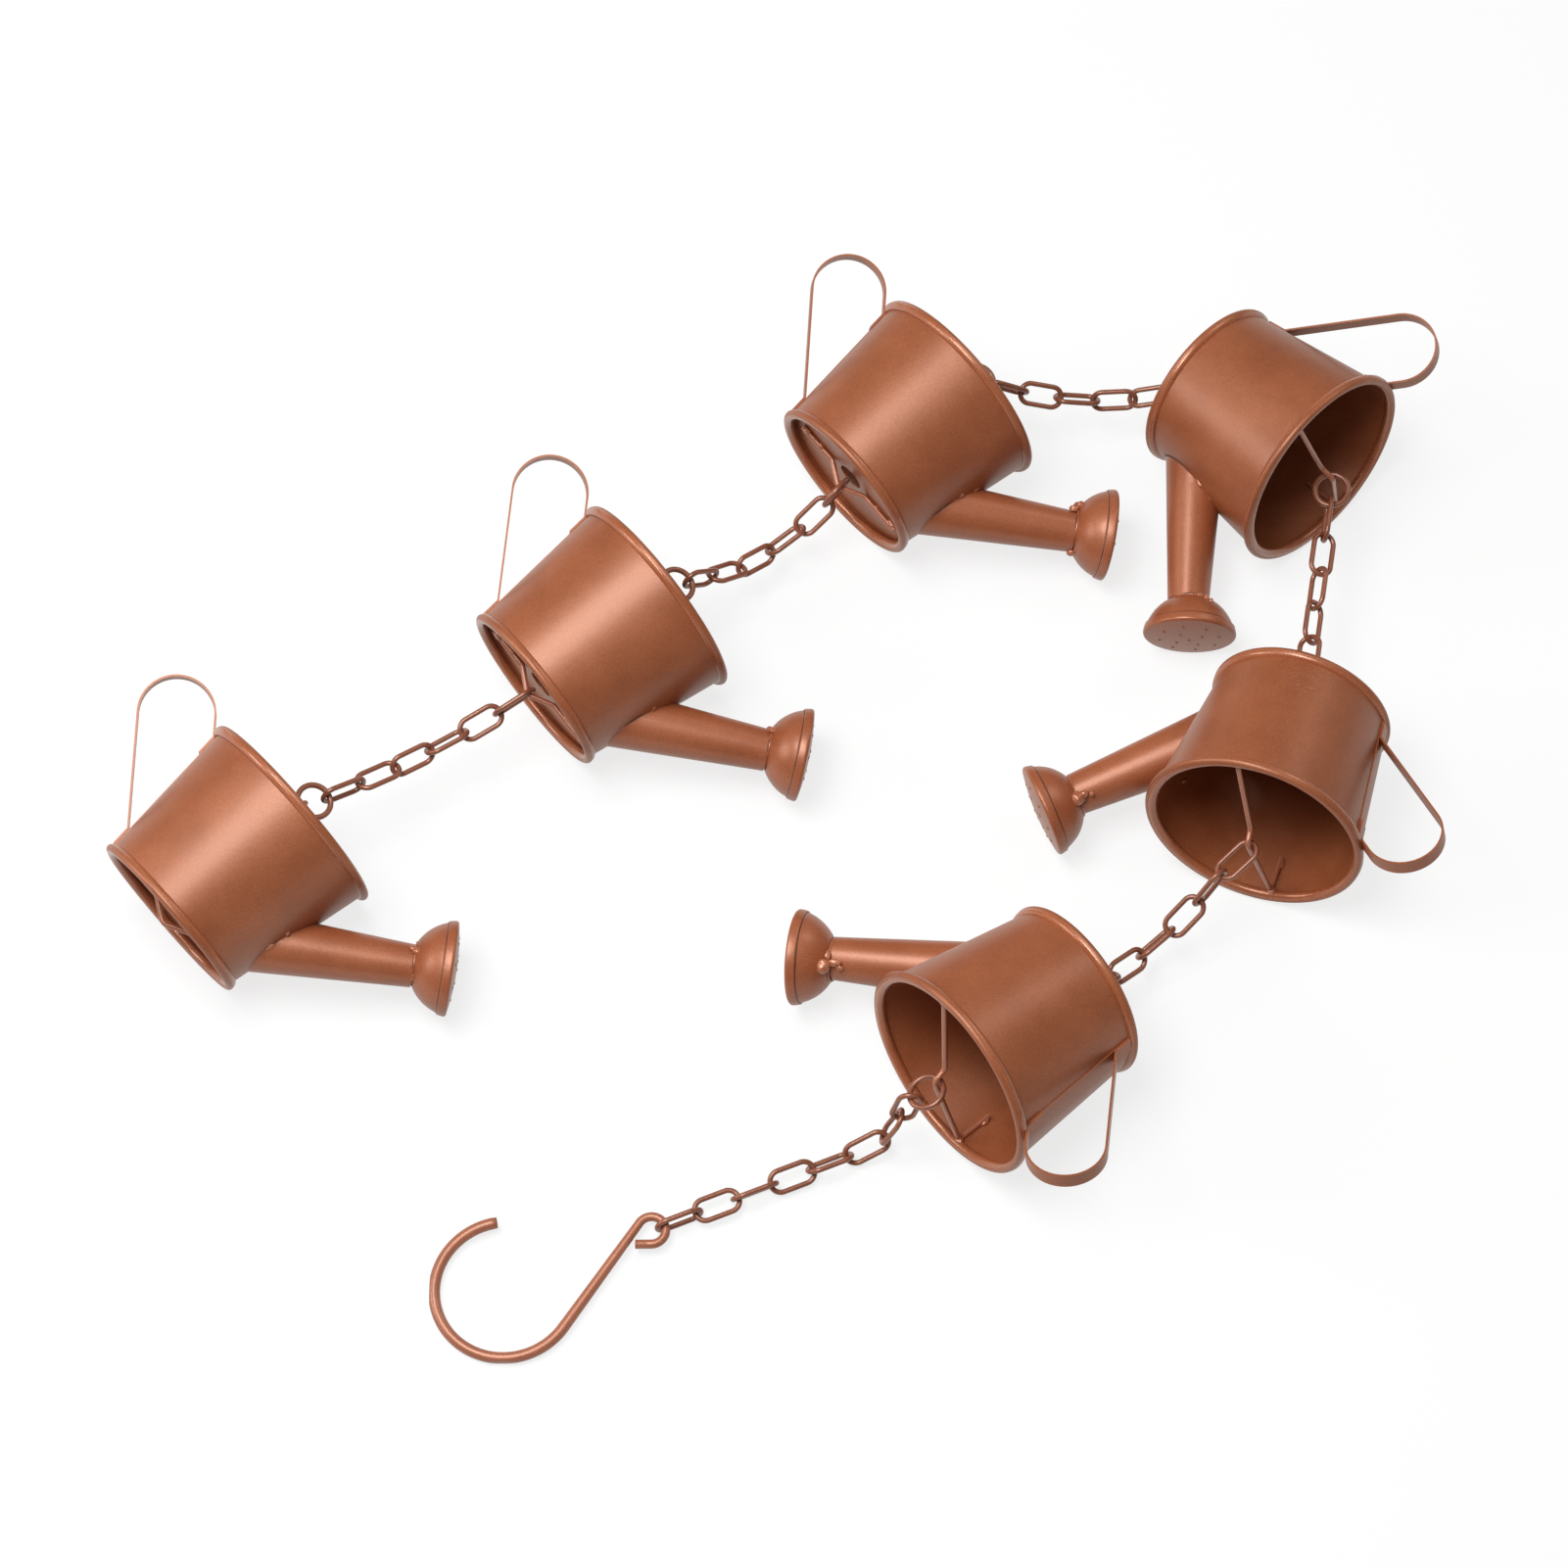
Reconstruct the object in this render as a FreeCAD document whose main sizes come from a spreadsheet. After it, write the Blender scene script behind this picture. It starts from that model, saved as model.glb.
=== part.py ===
import FreeCAD, Part
import math
import os

# A rain chain of six little watering cans, laid out on a flat surface.
# Millimetres, +Z up, the surface at z = 0, the origin under the middle of the whole.
# Each can is drawn once in a frame of its own: z from the base to the mouth, x towards the spout.

Vector = FreeCAD.Vector
Rotation = FreeCAD.Rotation
Placement = FreeCAD.Placement

SIZES = {
    # can wall
    "mouth_radius": 44,
    "base_radius": 36.6,
    "can_height": 65.2,
    "sheet": 0.8,
    "bead_radius": 1.6,
    "bead_inset": 0.4,
    "lap_width": 10,
    "lap_rise": 0.4,
    # base disc
    "base_recess": 4.6,
    "drain_radius": 5.8,
    # spout and its head
    "spout_angle": 50,
    "spout_root_height": 27.5,
    "spout_length": 50,
    "spout_root_radius": 11.2,
    "spout_neck_radius": 8.4,
    "bell_radius": 18.4,
    "bell_depth": 14.6,
    "cap_skirt": 4,
    "cap_edge": 1.6,
    "cap_dome": 1.6,
    # handle strap
    "strap_width": 6,
    "strap_thickness": 0.8,
    "handle_foot_height": 12,
    "handle_tab": 8,
    "loop_radius": 15.4,
    "loop_out": 14.9,
    "loop_drop": 9.8,
    "loop_close": 45,
    # wires that the chain hangs on
    "hanger_wire": 2.2,
    "hanger_bend": 3,
    "mouth_wire_leg": 15,
    "mouth_wire_depth": 3,
    "mouth_notch_reach": 5.5,
    "mouth_notch_width": 3,
    "base_wire_span": 56,
    "base_notch_width": 20,
    "base_notch_reach": 2,
    # chain
    "link_length": 20,
    "link_width": 10.5,
    "link_wire": 2.1,
    "ring_size": 15.8,
    "ring_wire": 2.3,
    "link_gap": 0.3,
    # hook
    "hook_wire": 3.5,
    "hook_radius": 27,
    "hook_shank": 50,
    "hook_eye_radius": 5.5,
    "hook_tail": 6,
}

# How the chain lies: for each run its heading and its slack, then the heading of the can that it holds.
# A heading is in degrees in the plan. The slack is how much the slope changes from one piece to the next.
LAY = (
    (22.2, 1.7, 217.8),
    (39.6, 0.387, 248.9),
    (80.3, 0.037, 313.6),
    (180.7, 0.2, 41.3),
    (216.7, 0.343, 38.4),
    (211.4, 0.086, 42),
)
HOOK_HEADING = 56

RUNS = (
    ("link",) * 8 + ("ring",),
    ("ring",) + ("link",) * 6,
    ("link",) * 6 + ("ring",),
    ("link",) * 6 + ("ring",),
    ("ring",) + ("link",) * 5 + ("ring",),
    ("link",) * 6 + ("ring",),
)

# Pieces of each run that share a node, in order from the hook end.
GROUPS = (
    (("links_a", 4), ("links_b", 4), ("ring", 1)),
    (("ring", 1), ("links_a", 2), ("links_b", 2), ("links_c", 2)),
    (("links_a", 2), ("links_b", 2), ("links_c", 2), ("ring", 1)),
    (("links_a", 2), ("links_b", 2), ("links_c", 2), ("ring", 1)),
    (("upper_ring", 1), ("links_a", 2), ("links_b", 3), ("ring", 1)),
    (("links_a", 2), ("links_b", 2), ("links_c", 2), ("ring", 1)),
)

doc = FreeCAD.newDocument("rain_chain")
sheet = doc.addObject("Spreadsheet::Sheet", "Sizes")
for row, (alias, value) in enumerate(SIZES.items(), start=1):
    sheet.set(f"A{row}", str(value))
    sheet.setAlias(f"A{row}", alias)
doc.recompute()


def size(alias):
    return float(sheet.get(alias))


def add(kind, name, **expressions):
    """A document object with the given properties bound to the sheet."""
    made = doc.addObject(kind, name)
    for prop, expression in expressions.items():
        made.setExpression(prop.replace("__", "."), expression)
    return made


def cut(name, base, tool):
    made = doc.addObject("Part::Cut", name)
    made.Base = base
    made.Tool = tool
    return made


def unit(vector):
    made = Vector(vector)
    made.normalize()
    return made


def polar(degrees, radius=1.0):
    angle = math.radians(degrees)
    return Vector(radius * math.cos(angle), radius * math.sin(angle), 0)


def solve(function, low, high, steps=60):
    """The value between low and high at which a function that falls from plus to minus is zero."""
    for _ in range(steps):
        middle = (low + high) / 2
        if function(middle) > 0:
            low = middle
        else:
            high = middle
    return (low + high) / 2


# Can wall: a tapered sheet with a bead at each end and a lap under the handle

WALL_FOOT = "Sizes.base_radius - 2 * Sizes.bead_radius + Sizes.bead_inset"
WALL_TOP = "Sizes.mouth_radius - 2 * Sizes.bead_radius + Sizes.bead_inset"
WALL_HEIGHT = "Sizes.can_height - 2 * Sizes.bead_radius"


def wall_cone(name, extra):
    return add("Part::Cone", name, Radius1=WALL_FOOT + extra, Radius2=WALL_TOP + extra, Height=WALL_HEIGHT,
               Placement__Base__z="Sizes.bead_radius")


def bead(name, radius, height):
    return add("Part::Torus", name, Radius1=f"{radius} - Sizes.bead_radius", Radius2="Sizes.bead_radius",
               Placement__Base__z=height)


wall_outside = wall_cone("WallOutside", " + Sizes.sheet")
wall_inside = wall_cone("WallInside", "")
wall_sheet = cut("WallSheet", wall_outside, wall_inside)
lap_outside = wall_cone("LapOutside", " + Sizes.sheet + Sizes.lap_rise")
lap_strip = add("Part::Box", "LapStrip", Length="Sizes.mouth_radius", Width="Sizes.lap_width",
                Height="Sizes.can_height", Placement__Base__x="-Sizes.mouth_radius",
                Placement__Base__y="-Sizes.strap_width / 2")
lap_shell = cut("LapShell", lap_outside, wall_inside)
lap = doc.addObject("Part::MultiCommon", "Lap")
lap.Shapes = [lap_shell, lap_strip]
wall = doc.addObject("Part::MultiFuse", "Wall")
wall.Shapes = [
    wall_sheet,
    lap,
    bead("BaseBead", "Sizes.base_radius", "Sizes.bead_radius"),
    bead("MouthBead", "Sizes.mouth_radius", "Sizes.can_height - Sizes.bead_radius"),
]


def inner_radius(height):
    """Radius of the inside of the wall at a height over the base."""
    part = (height - size("bead_radius")) / (size("can_height") - 2 * size("bead_radius"))
    foot = size("base_radius") - 2 * size("bead_radius") + size("bead_inset")
    return foot + part * (size("mouth_radius") - size("base_radius"))


def outer_radius(height):
    return inner_radius(height) + size("sheet")


WALL_LEAN = math.atan2(size("mouth_radius") - size("base_radius"), size("can_height") - 2 * size("bead_radius"))

# Base: a disc set inside the wall, with its drain hole

TAPER = "(Sizes.mouth_radius - Sizes.base_radius) / (Sizes.can_height - 2 * Sizes.bead_radius)"
DISC_FOOT = f"{WALL_FOOT} + (Sizes.base_recess - Sizes.bead_radius) * {TAPER}"
disc = add("Part::Cone", "Disc", Radius1=DISC_FOOT, Radius2=f"{DISC_FOOT} + Sizes.sheet * {TAPER}",
           Height="Sizes.sheet", Placement__Base__z="Sizes.base_recess")
drain = add("Part::Cylinder", "Drain", Radius="Sizes.drain_radius", Height="Sizes.can_height")
base = cut("Base", disc, drain)

# Spout: a tapered tube, its root cut to lie on the wall

SPOUT_WAY = Vector(math.sin(math.radians(size("spout_angle"))), 0, math.cos(math.radians(size("spout_angle"))))
SPOUT_TURN = Rotation(Vector(0, 1, 0), size("spout_angle"))
spout_root = Vector(outer_radius(size("spout_root_height")), 0, size("spout_root_height"))
SPOUT_NECK = spout_root + SPOUT_WAY * size("spout_length")
ROOT_BACK = "1.5 * Sizes.spout_root_radius"
ROOT_WIDE = f"Sizes.spout_root_radius + {ROOT_BACK} * (Sizes.spout_root_radius - Sizes.spout_neck_radius)"


def spout_cone(name, less):
    made = add("Part::Cone", name, Radius1=f"{ROOT_WIDE} / Sizes.spout_length{less}",
               Radius2=f"Sizes.spout_neck_radius{less}", Height=f"Sizes.spout_length + {ROOT_BACK}")
    made.Placement = Placement(spout_root - SPOUT_WAY * 1.5 * size("spout_root_radius"), SPOUT_TURN)
    return made


spout_tube = cut("SpoutTube", spout_cone("SpoutOutside", ""), spout_cone("SpoutInside", " - Sizes.sheet"))
spout = cut("Spout", spout_tube, wall_outside)

# Spout head: a bowl shaped back and a shallow cap pressed over its rim, both turned


def turned(name, outline):
    """A body turned round z from an outline of points and arcs in the half plane of x and z."""
    body = doc.addObject("PartDesign::Body", name)
    plane = next(item for item in body.Origin.OriginFeatures if item.Role == "XZ_Plane")
    profile = body.newObject("Sketcher::SketchObject", f"{name}Profile")
    profile.AttachmentSupport = [(plane, "")]
    profile.MapMode = "FlatFace"
    for edge in outline:
        if len(edge) == 2:
            profile.addGeometry(Part.LineSegment(Vector(*edge[0], 0), Vector(*edge[1], 0)))
        else:
            profile.addGeometry(Part.Arc(*(Vector(*point, 0) for point in edge)))
    turn = body.newObject("PartDesign::Revolution", f"{name}Turn")
    turn.Profile = profile
    turn.ReferenceAxis = (profile, ["V_Axis"])
    turn.Angle = 360
    body.Tip = turn
    return body


BOWL = size("bell_radius")
BOWL_CENTRE = math.sqrt(BOWL ** 2 - size("spout_neck_radius") ** 2)


def bowl_point(radius, depth):
    """The point of a bowl of this radius at a depth from the neck."""
    return math.sqrt(radius ** 2 - (depth - BOWL_CENTRE) ** 2), depth


def bell_outline():
    depth, thick = size("bell_depth"), size("sheet")
    outside = [bowl_point(BOWL, part * depth) for part in (0, 0.5, 1)]
    inside = [bowl_point(BOWL - thick, part * depth) for part in (1, 0.5, 0)]
    return [tuple(outside), (outside[2], inside[0]), tuple(inside), (inside[2], outside[0])]


def cap_outline():
    """Skirt over the rim of the bowl, rounded edge, and a face that stands out a little."""
    thick, edge = size("sheet"), size("cap_edge")
    inner = BOWL + 0.05
    outer = inner + thick
    front = size("bell_depth") + thick
    back = front - size("cap_skirt")
    bend = math.sqrt(0.5)
    round_out = ((outer, front - edge), (outer - edge * (1 - bend), front - edge * (1 - bend)), (outer - edge, front))
    flat, dome = outer - edge, size("cap_dome")
    sphere = (flat ** 2 + dome ** 2) / (2 * dome)
    centre = front + dome - sphere
    spread = math.asin(flat / sphere)

    def on_sphere(radius, part):
        return radius * math.sin(part * spread), centre + radius * math.cos(part * spread)

    face = tuple(on_sphere(sphere, part) for part in (1, 0.5, 0))
    floor = tuple(on_sphere(sphere - thick, part) for part in (0, 0.5, 1))
    seat = (inner, front - thick)
    return [((inner, back), (outer, back)), ((outer, back), round_out[0]), round_out, face,
            (face[2], floor[0]), floor, (floor[2], seat), (seat, (inner, back))]


bell = turned("Bell", bell_outline())
cap = turned("Cap", cap_outline())
HEAD_RIM = BOWL + 0.05 + size("sheet")
HEAD_FRONT = size("bell_depth") + size("sheet") - size("cap_edge")

# Bent wire and strap


def bent_path(points, bend):
    """Straight runs between the points with a round bend at each inner one."""
    edges = []
    start = points[0]
    for before, corner, after in zip(points, points[1:], points[2:]):
        come, go = unit(corner - before), unit(after - corner)
        half = come.getAngle(go) / 2
        reach = bend * math.tan(half)
        centre = corner + unit(go - come) * (bend / math.cos(half))
        middle = centre + unit(corner - centre) * bend
        edges.append(Part.LineSegment(start, corner - come * reach).toShape())
        edges.append(Part.Arc(corner - come * reach, middle, corner + go * reach).toShape())
        start = corner + go * reach
    edges.append(Part.LineSegment(start, points[-1]).toShape())
    return edges


def round_wire(name, edges, diameter):
    """A round wire along the edges."""
    path = Part.Wire(edges)
    start = path.Edges[0].valueAt(path.Edges[0].FirstParameter)
    way = path.Edges[0].tangentAt(path.Edges[0].FirstParameter)
    ring = Part.Wire(Part.Circle(start, way, diameter / 2).toShape())
    made = doc.addObject("Part::Feature", name)
    made.Shape = path.makePipeShell([ring], True, False)
    return made


def base_wire_points():
    """Two feet on the base disc and the notch that stands out over the drain hole."""
    level = size("base_recess") - size("hanger_wire") / 2
    foot, notch = size("base_wire_span") / 2, size("base_notch_width") / 2
    apex = Vector(0, 0, -size("base_notch_reach"))
    return [Vector(-foot, 0, level), Vector(-notch, 0, level), apex, Vector(notch, 0, level), Vector(foot, 0, level)]


def mouth_wire_points():
    """A leg down the inside of the wall, across the mouth with a notch in the middle, and a second leg."""
    top = size("can_height") - size("mouth_wire_depth")
    low = top - size("mouth_wire_leg")
    off = size("hanger_wire") / 2 / math.cos(WALL_LEAN)

    def on_wall(side, height):
        return Vector(0, side * (inner_radius(height) - off), height)

    apex = Vector(0, 0, size("can_height") + size("mouth_notch_reach"))
    shoulder = Vector(0, -size("mouth_notch_width"), size("can_height"))
    return [on_wall(-1, low), on_wall(-1, top), shoulder, apex, on_wall(1, top), on_wall(1, low)]


def notch(points, corner):
    """Middle of the bend in the wire at one of its corners, and the way into the notch."""
    come, go = unit(points[corner] - points[corner - 1]), unit(points[corner + 1] - points[corner])
    half = come.getAngle(go) / 2
    inward = unit(go - come)
    return points[corner] + inward * (size("hanger_bend") * (1 / math.cos(half) - 1)), inward


def base_nest(can_place, wire, gap):
    """Where the middle of a wire lies that hangs in the notch of the base wire, this far from its inside."""
    middle, inward = notch(base_wire_points(), 2)
    return can_place.multVec(middle + inward * ((size("hanger_wire") + wire) / 2 + gap))


def mouth_seat():
    """Where the last piece of a run lies on the mouth wire, just below the notch, and the way of the wire there."""
    apex, low_end = mouth_wire_points()[3:5]
    way = unit(low_end - apex)
    return apex + way * (1.5 * size("hanger_wire")), way


base_wire = round_wire("BaseWire", bent_path(base_wire_points(), size("hanger_bend")), size("hanger_wire"))
mouth_wire = round_wire("MouthWire", bent_path(mouth_wire_points(), size("hanger_bend")), size("hanger_wire"))


def handle_edges():
    """The inner line of the strap: tab and leg from the base end, the loop, and the tab under the mouth bead."""
    skin = size("sheet") + size("lap_rise")
    along = Vector(-math.sin(WALL_LEAN), 0, math.cos(WALL_LEAN))

    def on_wall(height):
        return Vector(-inner_radius(height) - skin, 0, height)

    foot = on_wall(size("handle_foot_height"))
    centre = Vector(-size("mouth_radius") - size("loop_out"), 0, size("can_height") - size("loop_drop"))
    radius = size("loop_radius") - size("strap_thickness")
    away = centre - foot
    swing = math.atan2(away.x, away.z) - math.asin(radius / away.Length)
    leg = Vector(math.sin(swing), 0, math.cos(swing))
    reach = math.sqrt(away.Length ** 2 - radius ** 2)
    begin = foot + leg * reach
    closing = math.radians(size("loop_close"))
    end = centre + Vector(math.sin(closing), 0, math.cos(closing)) * radius
    way = Vector(math.cos(closing), 0, -math.sin(closing))
    across = Vector(along.z, 0, -along.x)
    room = (on_wall(0) - end).dot(across) - size("strap_thickness")
    landing = end + way * (room / way.dot(across))
    bend = 2 * size("strap_thickness")
    lower = bent_path([foot - along * size("handle_tab"), foot, begin], bend)
    upper = bent_path([end, landing, landing - along * size("handle_tab")], bend)
    loop = Part.Arc(begin, centre + Vector(0, 0, radius), end).toShape()
    return lower + [loop] + upper


strap_line = doc.addObject("Part::Feature", "StrapLine")
strap_line.Shape = Part.Wire(handle_edges())
strap_face = add("Part::Offset2D", "StrapFace", Value="Sizes.strap_thickness")
strap_face.Source = strap_line
strap_face.Mode = "Skin"
strap_face.Fill = True
handle = add("Part::Extrusion", "Handle", LengthFwd="Sizes.strap_width")
handle.Base = strap_face
handle.DirMode = "Custom"
handle.Dir = Vector(0, 1, 0)
handle.Symmetric = True
handle.Solid = True

# Chain link, ring and hook

BEND = "(Sizes.link_width - Sizes.link_wire) / 2"
LEG = "Sizes.link_length - Sizes.link_width"


def link_end(name, turn, side):
    made = add("Part::Torus", name, Radius1=BEND, Radius2="Sizes.link_wire / 2",
               Placement__Base__x=f"{side} * ({LEG}) / 2")
    made.Angle3 = 180
    made.Placement.Rotation = Rotation(Vector(0, 0, 1), turn)
    return made


def link_leg(name, side):
    made = add("Part::Cylinder", name, Radius="Sizes.link_wire / 2", Height=LEG,
               Placement__Base__x=f"-({LEG}) / 2", Placement__Base__y=f"{side} * {BEND}")
    made.Placement.Rotation = Rotation(Vector(0, 1, 0), 90)
    return made


link = doc.addObject("Part::MultiFuse", "Link")
link.Shapes = [link_end("LinkEnd", -90, 1), link_end("LinkStart", 90, -1), link_leg("LegLeft", 1),
               link_leg("LegRight", -1)]
ring = add("Part::Torus", "Ring", Radius1="(Sizes.ring_size - Sizes.ring_wire) / 2", Radius2="Sizes.ring_wire / 2")

EYE_TURN = 236
HOOK_TURN = 227


def hook_edges():
    """From the tail of the eye, round the eye and along the shank to the open hook, with the eye at the origin."""
    eye, bow = size("hook_eye_radius"), size("hook_radius")
    leave = HOOK_HEADING + 90
    close = leave - EYE_TURN
    tail_way = polar(close + 90)
    tail = polar(close, eye) - tail_way * size("hook_tail")
    eye_arc = Part.Arc(polar(close, eye), polar((leave + close) / 2, eye), polar(leave, eye))
    shank_end = polar(leave, eye) - polar(HOOK_HEADING) * size("hook_shank")
    bow_centre = shank_end + polar(leave, bow)
    bow_arc = Part.Arc(*(bow_centre - polar(leave + part * HOOK_TURN, bow) for part in (0, -0.5, -1)))
    return [Part.LineSegment(tail, polar(close, eye)).toShape(), eye_arc.toShape(),
            Part.LineSegment(polar(leave, eye), shank_end).toShape(), bow_arc.toShape()]


hook = round_wire("Hook", hook_edges(), size("hook_wire"))
doc.recompute()

# How a can lies: on both beads and on the rim of its spout head


def rest_tilt():
    return math.atan2(size("mouth_radius") - size("base_radius"), size("can_height") - 2 * size("bead_radius"))


def rest_height():
    """Height of the middle of the base."""
    tilt, radius = rest_tilt(), size("bead_radius")
    return radius + (size("base_radius") - radius) * math.cos(tilt) - radius * math.sin(tilt)


def head_height(roll):
    """Height of the lowest point of the spout head when the spout dips by this angle."""
    tilt, edge = rest_tilt(), size("cap_edge")
    rim = SPOUT_NECK + SPOUT_WAY * HEAD_FRONT
    dip = -math.sin(roll) * math.cos(tilt)
    face = SPOUT_WAY.x * dip + SPOUT_WAY.z * math.sin(tilt)
    middle = rest_height() + rim.x * dip + rim.z * math.sin(tilt)
    return middle - (HEAD_RIM - edge) * math.sqrt(1 - face ** 2) - edge


REST_ROLL = solve(head_height, 0, math.radians(60))


def can_turn(heading):
    tilt = rest_tilt()
    ahead, aside = polar(heading), polar(heading - 90)
    axis = ahead * math.cos(tilt) + Vector(0, 0, math.sin(tilt))
    rise = Vector(0, 0, math.cos(tilt)) - ahead * math.sin(tilt)
    to_spout = aside * math.cos(REST_ROLL) - rise * math.sin(REST_ROLL)
    return Rotation(to_spout, axis.cross(to_spout), axis, "ZXY")


# How a run lies: each piece hangs in the one before it, the slope changing evenly along the run

WIRES = {"link": size("link_wire"), "ring": size("ring_wire")}
LENGTHS = {"link": size("link_length"), "ring": size("ring_size")}
LAST_SLOPE = 0.3
ACROSS = Vector(0, 1, 0)


def apart(one, other):
    """Distance between the middles of two wires that hang in each other."""
    return (one + other) / 2 + size("link_gap")


def string_out(first, kinds, ways, turns):
    """Where the wire is at the two ends of each piece, from the place of the first end."""
    ends = []
    start = first
    for place, (kind, way) in enumerate(zip(kinds, ways)):
        end = start + way * (LENGTHS[kind] - WIRES[kind])
        ends.append((start, end))
        if place + 1 < len(kinds):
            square = turns[place].multVec(ACROSS).cross(turns[place + 1].multVec(ACROSS))
            if square.dot(way + ways[place + 1]) < 0:
                square = square * -1
            start = end - unit(square) * apart(WIRES[kind], WIRES[kinds[place + 1]])
    return ends


def run_ways(count, heading, slack, low, on_floor):
    """Way of each piece. The last one lies nearly level on the upright wire that it holds."""
    ways = []
    for place in range(count):
        slope = slack * (place - low)
        if on_floor:
            slope = max(slope, 0)
        if place == count - 1:
            slope = max(-LAST_SLOPE, min(slope, LAST_SLOPE))
        ways.append(unit(polar(heading) + Vector(0, 0, slope)))
    return ways


def side_of(way):
    return unit(Vector(0, 0, 1).cross(way))


def roll_along(lateral, way):
    """Roll of a piece whose end wire runs along the given way."""
    across = side_of(way)
    return math.degrees(math.atan2(lateral.dot(way.cross(across)), lateral.dot(across)))


def rolls(first, last, count):
    """Rolls from the first piece to the last, each about a quarter turn from the one before."""
    steps = count - 1
    halves = round((90 * steps - (last - first)) / 180)
    return [first + place * (last - first + 180 * halves) / steps for place in range(count)]


def piece_turn(way, roll):
    across = side_of(way)
    lift = way.cross(across)
    angle = math.radians(roll)
    lateral = across * math.cos(angle) + lift * math.sin(angle)
    return Rotation(way, lateral, way.cross(lateral), "XYZ")


MASTERS = {"link": link, "ring": ring}
NOTCH_ROOM = 2 * size("hanger_wire")


def lay_out(kinds, lay, first_at, first_side, on_floor):
    """Ends and turns of the pieces of a run, and the place of the can that the last piece holds."""
    heading, slack, can_heading = lay
    turn = can_turn(can_heading)
    seat, wire_way = (turn.multVec(vector) for vector in mouth_seat())

    def lie(low):
        ways = run_ways(len(kinds), heading, slack, low, on_floor)
        last_side = wire_way.cross(ways[-1])
        twists = rolls(roll_along(first_side, ways[0]), roll_along(last_side, ways[-1]), len(kinds))
        turns = [piece_turn(way, twist) for way, twist in zip(ways, twists)]
        ends = string_out(first_at, kinds, ways, turns)
        square = unit(ways[-1] - wire_way * ways[-1].dot(wire_way))
        return ends, turns, ends[-1][1] - square * apart(WIRES[kinds[-1]], size("hanger_wire"))

    low = solve(lambda place: lie(place)[2].z - rest_height() - seat.z, -40, 40)
    ends, turns, held = lie(low)
    return ends, turns, Placement(held - seat, turn)


def piece_place(ends, turns, place):
    start, end = ends[place]
    return Placement((start + end) / 2, turns[place])


def placed(master, place):
    moved = master.Shape.copy()
    moved.Placement = place
    return moved


def short_of_gap(piece, piece_at, wire, wire_at):
    """How much less than the wanted gap lies between a piece and the wire that it hangs on."""
    return size("link_gap") - placed(piece, piece_at).distToShape(placed(wire, wire_at))[0]


def hang_first(kinds, lay, can_place, first_side):
    """Where the first piece of a run starts on the base wire of the can before it."""

    def short(gap):
        ends, turns, _ = lay_out(kinds, lay, base_nest(can_place, WIRES[kinds[0]], gap), first_side, False)
        return short_of_gap(MASTERS[kinds[0]], piece_place(ends, turns, 0), base_wire, can_place)

    return base_nest(can_place, WIRES[kinds[0]], solve(short, 0, NOTCH_ROOM, 12))


# Lay the whole chain out, from the hook to the last can

places = {}
hinges = []
CAN_PIECES = {
    "wall": (wall,),
    "base": (base,),
    "spout": (spout,),
    "head": (bell, cap),
    "handle": (handle,),
    "wires": (mouth_wire, base_wire),
}
HEAD_PLACE = Placement(SPOUT_NECK, SPOUT_TURN)

floor_line = size("link_width") / 2
hook_drop = math.asin((floor_line - size("hook_wire") / 2) / (size("hook_shank") + size("hook_radius")))
hook_turn = Rotation(polar(HOOK_HEADING + 90), -math.degrees(hook_drop))
places["hook"] = [(hook, Placement(Vector(0, 0, floor_line), hook_turn))]

holder = "hook"
hold_way = polar(LAY[0][0])
hold_at = hold_way * size("hook_eye_radius") + Vector(0, 0, floor_line)
hold_wire = polar(LAY[0][0] + 90)
first_at = hold_at - hold_way * ((size("hook_wire") + WIRES[RUNS[0][0]]) / 2 + size("link_gap"))
first_side = Vector(0, 0, 1)

for number, (kinds, groups, lay) in enumerate(zip(RUNS, GROUPS, LAY), start=1):
    if number > 1:
        first_side = turn.multVec(ACROSS)
        first_at = hang_first(kinds, lay, can_place, first_side)
    ends, turns, can_place = lay_out(kinds, lay, first_at, first_side, number == 1)
    turn = can_place.Rotation

    done = 0
    for group, count in groups:
        name = f"run_{number}_{group}"
        places[name] = []
        for place in range(done, done + count):
            places[name].append((MASTERS[kinds[place]], piece_place(ends, turns, place)))
        hinges.append((holder, name, (hold_at, hold_wire), (ends[done][0], turns[done].multVec(ACROSS))))
        done += count
        holder, hold_at, hold_wire = name, ends[done - 1][1], turns[done - 1].multVec(ACROSS)

    can = f"can_{number}"
    for piece, shapes in CAN_PIECES.items():
        inside = HEAD_PLACE if piece == "head" else Placement()
        places[f"{can}_{piece}"] = [(shape, can_place.multiply(inside)) for shape in shapes]
    seat, wire_way = mouth_seat()
    hinges.append((holder, can, (hold_at, hold_wire), (can_place.multVec(seat), turn.multVec(wire_way))))
    holder, hold_wire = can, turn.multVec(Vector(1, 0, 0))
    hold_at = can_place.multVec(notch(base_wire_points(), 2)[0])

# Set the origin under the middle of the whole

whole = FreeCAD.BoundBox()
for copies in places.values():
    for master, place in copies:
        whole.add(placed(master, place).optimalBoundingBox(False))
shift = Placement(Vector(-whole.Center.x, -whole.Center.y, 0), Rotation())

# Place a copy of each drawn piece, and gather the copies that share a node

nodes = []
for name, copies in places.items():
    made = []
    for place, (master, where) in enumerate(copies):
        copy = doc.addObject("App::Link", f"{name}_{place + 1}")
        copy.LinkedObject = master
        copy.Placement = shift.multiply(where)
        made.append(copy)
    node = made[0]
    if len(made) > 1:
        node = doc.addObject("Part::Compound", f"{name}_group")
        node.Links = made
    node.Label = name
    nodes.append(node)
doc.recompute()

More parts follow.
